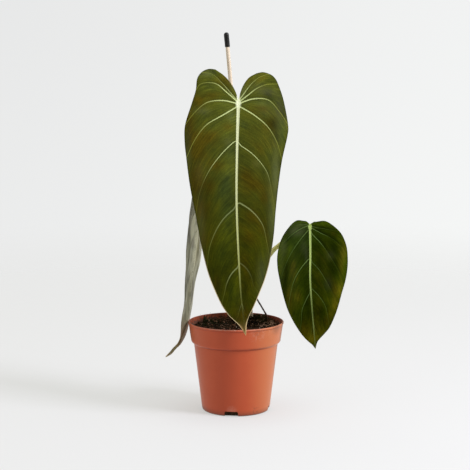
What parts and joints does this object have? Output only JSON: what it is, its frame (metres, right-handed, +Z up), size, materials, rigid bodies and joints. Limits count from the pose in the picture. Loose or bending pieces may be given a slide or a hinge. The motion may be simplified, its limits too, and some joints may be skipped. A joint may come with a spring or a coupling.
{
  "type": "potted philodendron",
  "caption": "Climbing aroid house plant with long velvety heart shaped leaves hanging from arched stalks, in a plain nursery pot of soil with a thin wooden stake.",
  "frame": {"origin": "centre of the pot's flat base, on the surface that the pot stands on", "axes": "+Z up, -Y toward the front of the plant, where the largest leaf hangs, +X toward the small leaf"},
  "size_m": [0.2272, 0.1366, 0.472],
  "materials": {
    "pot_plastic": "terracotta orange moulded polypropylene, satin",
    "potting_soil": "dark crumbly potting mix of peat and bark",
    "stem_skin": "green brown living bark",
    "stalk_skin": "pale green leaf stalk, faintly rough",
    "blade_olive": "velvety olive green leaf with pale veins",
    "blade_deep": "deep green young leaf with pale midrib",
    "root_bark": "dry brown aerial root",
    "stake_wood": "plain pale dowel",
    "tip_black": "black dipped tip"
  },
  "bodies": {
    "root": {"pot": "pot_plastic", "soil": "potting_soil", "main_stem": "stem_skin", "front_stalk": "stalk_skin", "right_stalk": "stalk_skin", "left_stalk": "stalk_skin", "front_blade": "blade_olive", "right_blade": "blade_deep", "left_blade": "blade_olive", "aerial_root": "root_bark", "stake": "stake_wood", "stake_tip": "tip_black"}
  },
  "joints": []
}
